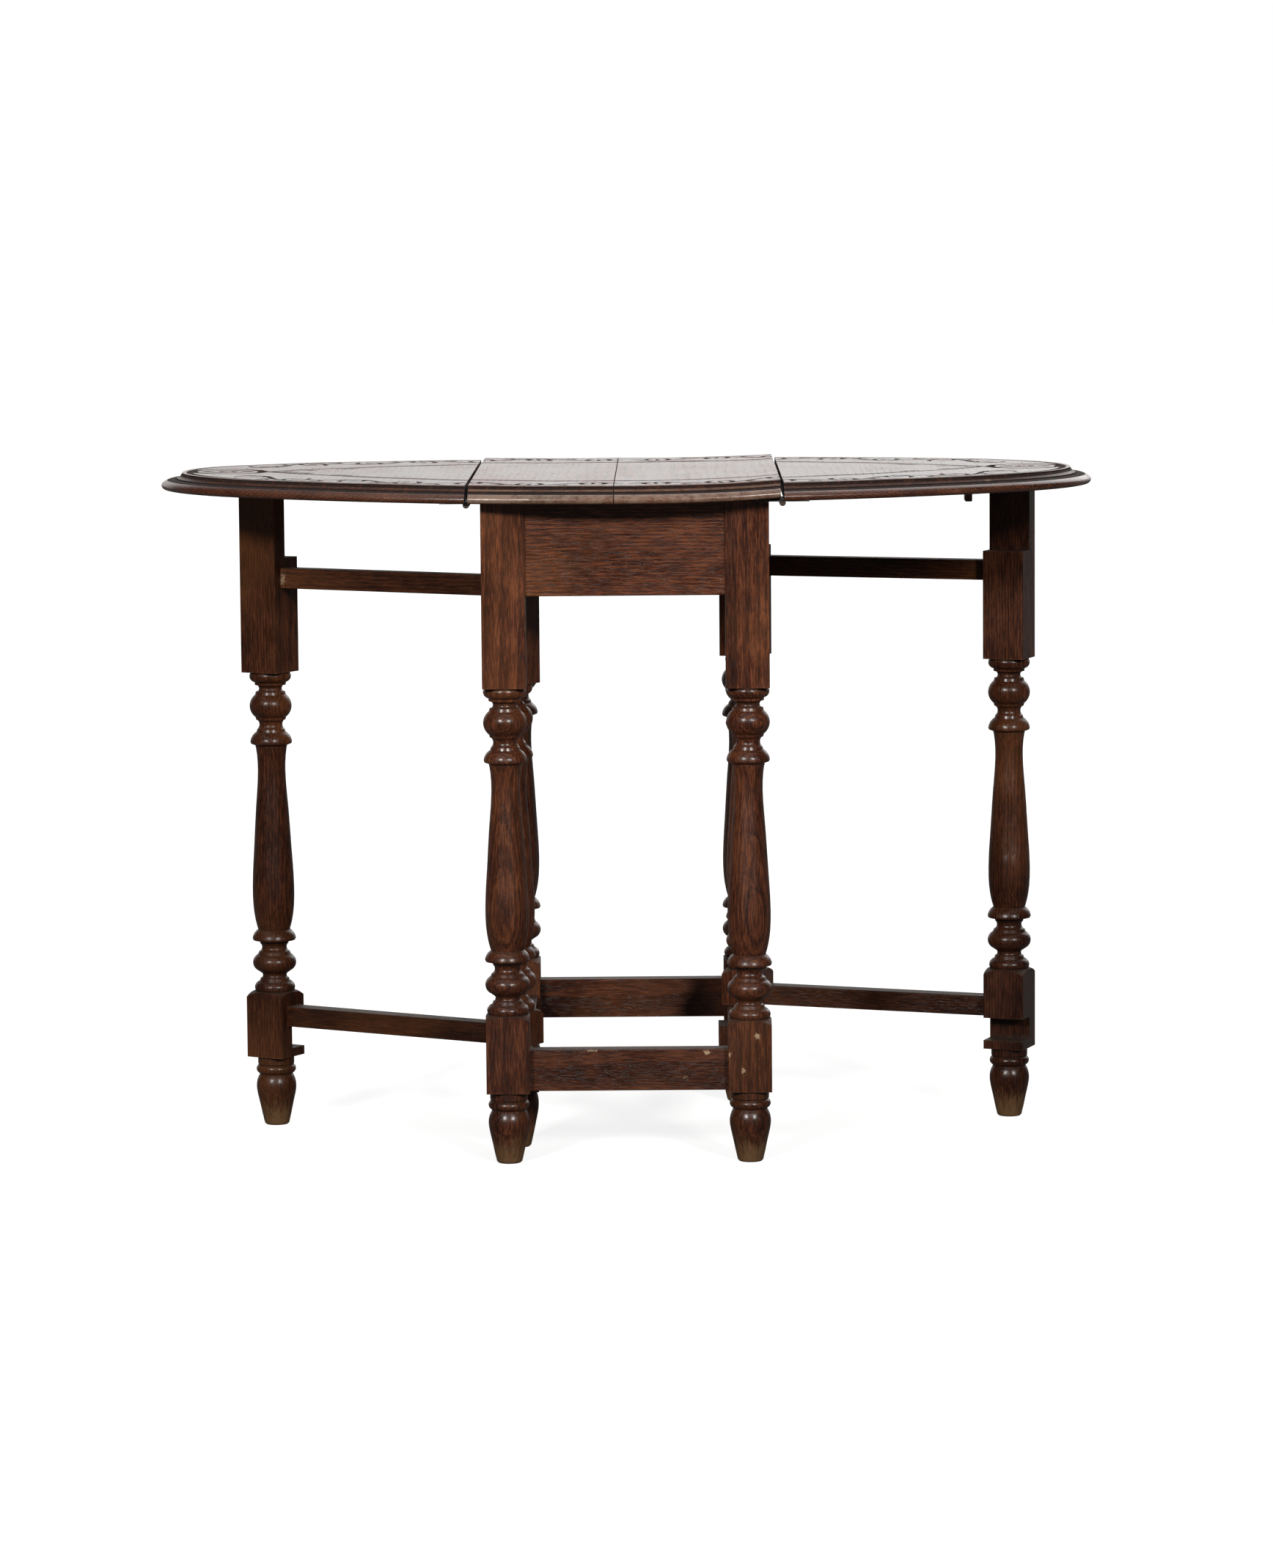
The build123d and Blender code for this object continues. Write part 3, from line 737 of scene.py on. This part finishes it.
# Points round the oval, and the rings that carry the carving and the plain field inside them
ROUND = 1640
BAND_RINGS = 108
FIELD_INSET = 150.0
FIELD_SHARES = (0.06, 0.2, 0.34, 0.48, 0.62, 0.76, 0.88, 0.96)
UNDERSIDE_INSETS = (40.0, 110.0, 190.0)

# The left and right end of each board, and the seed of its grain
FAR = HALF_LENGTH + 10
BOARDS = {
    "leaf_left": (-FAR, -SEAM_X - HALF_GAP, 11),
    "centre_board_left": (-SEAM_X + HALF_GAP, JOINT_X - HALF_HAIRLINE, 12),
    "centre_board_right": (JOINT_X + HALF_HAIRLINE, SEAM_X - HALF_GAP, 13),
    "leaf_right": (SEAM_X + HALF_GAP, FAR, 14),
}
CRACKS = (-141.0, -93.0, -62.0, 31.0, 88.0, 121.0)
SHARP_ANGLE = 42


def arc_points(start, middle, end, count):
    """Points after start on the circle through three points."""
    (ax, ay), (bx, by), (cx, cy) = start, middle, end
    d = 2 * (ax * (by - cy) + bx * (cy - ay) + cx * (ay - by))
    a2, b2, c2 = ax * ax + ay * ay, bx * bx + by * by, cx * cx + cy * cy
    ux = (a2 * (by - cy) + b2 * (cy - ay) + c2 * (ay - by)) / d
    uy = (a2 * (cx - bx) + b2 * (ax - cx) + c2 * (bx - ax)) / d
    radius = math.hypot(ax - ux, ay - uy)
    first = math.atan2(ay - uy, ax - ux)
    mid = math.atan2(by - uy, bx - ux)
    last = math.atan2(cy - uy, cx - ux)
    sweep = (last - first) % (2 * math.pi)
    if (mid - first) % (2 * math.pi) > sweep:
        sweep -= 2 * math.pi
    turns = [first + sweep * k / count for k in range(1, count + 1)]
    return [(ux + radius * math.cos(turn), uy + radius * math.sin(turn)) for turn in turns]


def profile_points():
    points = [PROFILE[0][0]]
    for end, middle in PROFILE[1:]:
        if middle is None:
            points.append(end)
        else:
            points += arc_points(points[-1], middle, end, ARC_STEPS)
    return points


def edge_wear(turns):
    """How unevenly the moulding has worn, all round the oval."""
    draw = np.random.RandomState(3)
    waves = [(draw.randint(5, 60), draw.uniform(0, 6.28), draw.uniform(0.02, 0.10)) for _ in range(9)]
    return sum(size * np.sin(2 * np.pi * count * turns / 4 + phase) for count, phase, size in waves)


def top_rings():
    """Rings of points from the middle of the top out over the moulding and in again underneath."""
    turns = np.linspace(0, 4, ROUND, endpoint=False)
    flat = np.zeros(ROUND)
    x, y = oval(turns, FIELD_INSET)
    rings = [(x * share, y * share, flat) for share in FIELD_SHARES]
    for inset in np.linspace(FIELD_INSET, FLAT_INSET + 1.2, BAND_RINGS):
        rings.append((*oval(turns, inset), flat))
    worn = np.abs(edge_wear(turns)) * 0.8
    for inset, drop in profile_points():
        rings.append((*oval(turns, inset + worn), np.full(ROUND, drop)))
    for inset in UNDERSIDE_INSETS:
        rings.append((*oval(turns, inset), np.full(ROUND, THICKNESS)))
    return rings


def whole_top(relief):
    """The oval top in one piece, carved and moulded."""
    rings = top_rings()
    x, y, drop = (np.concatenate(parts) for parts in zip(*rings))
    ripple = 0.10 * np.sin(x / 17.0 + 1.3 * np.sin(y / 61.0)) + 0.08 * np.sin(y / 23.0 + x / 90.0)
    z = TOP_Z - drop - np.where(drop == 0, relief.at(x, y) + ripple, 0.0)
    middle = len(z)
    verts = np.vstack((np.column_stack((x, y, z)), [(0.0, 0.0, TOP_Z), (0.0, 0.0, TOP_Z - THICKNESS)]))
    here = np.arange(ROUND)
    after = (here + 1) % ROUND
    quads = []
    for ring in range(len(rings) - 1):
        inner, outer = ring * ROUND, (ring + 1) * ROUND
        quads.append(np.column_stack((inner + here, outer + here, outer + after, inner + after)))
    last = (len(rings) - 1) * ROUND
    faces = [tuple(quad) for quad in np.vstack(quads).tolist()]
    faces += [(middle, int(a), int(b)) for a, b in zip(here, after)]
    faces += [(middle + 1, int(last + b), int(last + a)) for a, b in zip(here, after)]
    mesh = bpy.data.meshes.new("whole_top")
    mesh.from_pydata(verts.tolist(), [], faces)
    top = bmesh.new()
    top.from_mesh(mesh)
    bpy.data.meshes.remove(mesh)
    return top


def cut_board(top, low, high):
    """The part of the whole top between two planes across it, closed where it was cut."""
    board = top.copy()
    for plane, outward in ((low, -1), (high, 1)):
        if abs(plane) >= HALF_LENGTH:
            continue
        cut = bmesh.ops.bisect_plane(
            board,
            geom=board.verts[:] + board.edges[:] + board.faces[:],
            dist=1e-4,
            plane_co=(plane, 0, 0),
            plane_no=(outward, 0, 0),
            clear_outer=True,
        )
        edges = [item for item in cut["geom_cut"] if isinstance(item, bmesh.types.BMEdge)]
        bmesh.ops.contextual_create(board, geom=edges)
    return board


def board_attributes(place, relief, is_centre):
    """What the board's material shows at each point: grooves with dirt and painted shade, painted shade in
    the moulding, cracks and rubbed pale edges.
    """
    x, y, z = place.T
    drop = TOP_Z - z
    inside = inset_of(x, y) > FLAT_INSET + 0.6
    # Carved grooves darkened by their depth: dirt in them, and painted shade.
    groove_and_shade = np.where(inside & (drop < 8.0), relief.at(x, y), 0.0)
    # Painted shade on the moulding, by its drop below the flat.
    painted_moulding_shade = np.interp(drop, *zip(*PAINTED_SHADE_BY_DROP))
    groove_and_shade = np.maximum(groove_and_shade, np.where(inside, 0.0, painted_moulding_shade))
    crack = np.zeros(len(x))
    pale = np.zeros(len(x))
    if is_centre:
        edge = ~inside & (drop > 0.5) & (drop < THICKNESS - 0.2)
        for crack_x in CRACKS:
            wander = crack_x + 0.8 * np.sin(z / 2.3 + crack_x)
            near = np.clip(1.0 - np.abs(x - wander) / 1.1, 0.0, 1.0)
            crack = np.maximum(crack, near * edge)
        rubbed = 0.25 * np.exp(-(((x + 140.0) / 22.0) ** 2))
        pale = np.where(edge, 0.74, 0.05) + np.where(edge, rubbed, 0.0)
    return {"groove_and_shade": groove_and_shade, "crack": crack, "pale": pale}


def finish_board(name, board, relief, seed):
    """Turn one cut board into a piece that stands for its CAD node."""
    mesh = bpy.data.meshes.new(name + "_carved")
    board.to_mesh(mesh)
    place = np.empty(len(mesh.vertices) * 3)
    mesh.vertices.foreach_get("co", place)
    place = place.reshape(-1, 3)
    is_centre = name.startswith("centre")
    for key, values in board_attributes(place, relief, is_centre).items():
        layer = mesh.attributes.new(key, "FLOAT", "POINT")
        layer.data.foreach_set("value", values.astype(np.float32))
    place[:, 2] += lift(place[:, 0], place[:, 1])
    mesh.vertices.foreach_set("co", (place * MM).ravel())
    mesh.polygons.foreach_set("use_smooth", np.ones(len(mesh.polygons), bool))
    mesh.set_sharp_from_angle(angle=math.radians(SHARP_ANGLE))
    piece = bpy.data.objects.new(name + "_carved", mesh)
    bpy.context.scene.collection.objects.link(piece)
    shade = 1.05 if is_centre else 0.78
    mesh.materials.append(top_oak("oak_" + name, seed, shade, CHIPS.get(name, ()), is_centre))
    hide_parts(name)
    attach(piece, "frame")


def build_boards():
    """The four boards of the top, cut from one carved and moulded oval."""
    relief = carve_top()
    top = whole_top(relief)
    for name, (low, high, seed) in BOARDS.items():
        board = cut_board(top, low, high)
        finish_board(name, board, relief, seed)
        board.free()
    top.free()


# ---------------------------------------------------------------- looks of the CAD nodes

# Direction of the grain, by the start of a node's name; legs and posts are upright
UPRIGHT = (0, 0, 1)
GRAIN = {
    "apron": (1, 0, 0),
    "stretcher": (1, 0, 0),
    "side": (0, 1, 0),
    "corner": (1, 0, 0),
    "leaf_block": (0, 1, 0),
}
# Each chip's place, size and strength, in metres
CHIPS = {
    "leg_front_right": (
        ((0.135, -0.263, 0.137), (0.004, 0.004, 0.004), 0.8),
        ((0.121, -0.263, 0.100), (0.003, 0.004, 0.005), 0.6),
        ((0.106, -0.263, 0.117), (0.003, 0.003, 0.004), 0.6),
    ),
    "leaf_right": (
        ((0.349, -0.211, 0.7080), (0.006, 0.006, 0.004), 0.7),
        ((0.385, -0.176, 0.7165), (0.006, 0.006, 0.003), 0.6),
        ((0.430, -0.158, 0.7085), (0.006, 0.006, 0.004), 0.6),
        ((0.205, -0.268, 0.7080), (0.005, 0.005, 0.003), 0.6),
    ),
    "stretcher_front": (
        ((0.083, -0.253, 0.118), (0.006, 0.004, 0.003), 0.8),
        ((0.060, -0.253, 0.092), (0.004, 0.004, 0.002), 0.5),
        ((-0.040, -0.253, 0.121), (0.008, 0.004, 0.002), 0.5),
    ),
}
FIRST_SEED = 40


def grain_of(name):
    """Direction of a node's grain: legs and posts upright, rails along their length."""
    if name.startswith("gate_rail"):
        low, high = (Vector(corner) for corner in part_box(name))
        run = high - low
        slope = -1.0 if run.x > 0 else 1.0
        return (run.x, slope * run.y, 0.0)
    for key, direction in GRAIN.items():
        if name.startswith(key):
            return direction
    return UPRIGHT


def split_at_rail():
    """Bare wood where the left gate's upper rail has split at the leg."""
    low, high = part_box("gate_rail_upper_left")
    return ((low[0] + 0.012, high[1] - 0.016, 0.606), (0.009, 0.012, 0.012), 0.75)


def painted_shade_of(name):
    """Painted shade: the gates, and their rails most of all, stand back in the shade of the top, and their
    colour is darkened for it.
    """
    if name.startswith("gate_rail"):
        return 0.42
    return 0.55 if name.startswith("gate_") else 1.0


def node_oak(name, seed):
    """Oak for one node of the frame or of a gate."""
    warmth = 0.85 if name == "gate_leg_left" else 0.5
    sheen = 0.5 if name.startswith(("gate_", "pivot")) else 0.75
    has_foot = name.startswith(("leg", "gate_leg", "stub"))
    chips = CHIPS.get(name, ())
    if name == "gate_rail_upper_left":
        chips += (split_at_rail(),)
    seed += FIRST_SEED
    return frame_oak("oak_" + name, grain_of(name), seed, warmth, painted_shade_of(name), sheen, has_foot, chips)


def dress_nodes():
    """A detailed material for every CAD node that shows."""
    for seed, name in enumerate(sorted(nodes)):
        if name in BOARDS:
            continue
        if name.startswith("hinge"):
            material = iron("iron_" + name, seed, 1.6 if name.endswith("screws") else 1.0)
        else:
            material = node_oak(name, seed)
        node = nodes[name]
        for slot in node.material_slots:
            slot.material = material
        if not node.material_slots:
            node.data.materials.append(material)


make_stage()
build_boards()
dress_nodes()
